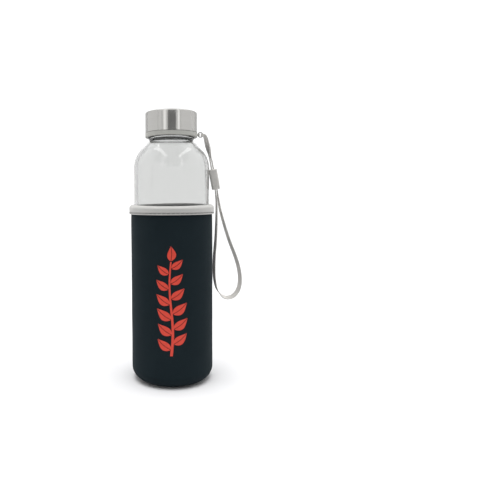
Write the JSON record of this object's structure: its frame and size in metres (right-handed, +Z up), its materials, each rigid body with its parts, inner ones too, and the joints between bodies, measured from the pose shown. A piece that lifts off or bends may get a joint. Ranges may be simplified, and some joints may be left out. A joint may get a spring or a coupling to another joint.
{
  "type": "glass water bottle",
  "caption": "Clear glass water bottle with a brushed steel screw cap, a woven wrist strap with a slider, and a dark neoprene sleeve with a light grey binding.",
  "frame": {"origin": "centre of the sleeve's underside, on the surface that the bottle stands on", "axes": "+Z up along the bottle's axis; the wrist strap hangs on the +X side; the sleeve's side seam is at +Y; the print faces -Y"},
  "size_m": [0.0945, 0.0704, 0.22],
  "materials": {
    "glass": "clear polished",
    "steel": "brushed",
    "liner": "satin",
    "seal": "matte",
    "ring": "polished",
    "ribbon": "woven",
    "slider": "satin",
    "neoprene": "knitted face",
    "binding": "woven tape",
    "light_thread": "sewing thread",
    "dark_thread": "sewing thread"
  },
  "bodies": {
    "sleeve": {"sleeve_wall": "neoprene", "sleeve_base": "neoprene", "sleeve_trim": "binding", "trim_stitches": "light_thread", "side_stitches": "dark_thread", "base_stitches": "dark_thread"},
    "bottle": {"glass_bottle": "glass"},
    "seal": {"cap_seal": "seal"},
    "cap": {"cap_shell": "steel", "cap_liner": "liner"},
    "ring": {"strap_ring": "ring"},
    "strap": {"wrist_strap": "ribbon"},
    "slider": {"strap_slider": "slider"}
  },
  "joints": [
    {"name": "bottle_slide", "type": "slide", "parent": "sleeve", "child": "bottle", "axis": [0, 0, 1], "range_m": [0, 0.15]},
    {"name": "cap_lift", "type": "slide", "parent": "bottle", "child": "seal", "axis": [0, 0, 1], "range_m": [0, 0.0064]},
    {"name": "cap_turn", "type": "hinge", "parent": "seal", "child": "cap", "pos_m": [0, 0, 0.2178], "axis": [0, 0, 1], "range_deg": [0, 540]},
    {"name": "ring_swivel", "type": "hinge", "parent": "cap", "child": "ring", "pos_m": [0.0222, 0, 0.202], "axis": [0, 0, 1], "range_deg": [-12, 6]},
    {"name": "strap_swing", "type": "hinge", "parent": "ring", "child": "strap", "pos_m": [0.0241, 0, 0.202], "axis": [0, -1, 0], "range_deg": [0, 75]},
    {"name": "slider_slide", "type": "slide", "parent": "strap", "child": "slider", "axis": [-0.1799, -0.0741, 0.9809], "range_m": [0, 0.0025]}
  ],
  "couplings": [
    {"joint": "cap_lift", "follows": "cap_turn", "m_per_rad": 0.00066845}
  ]
}
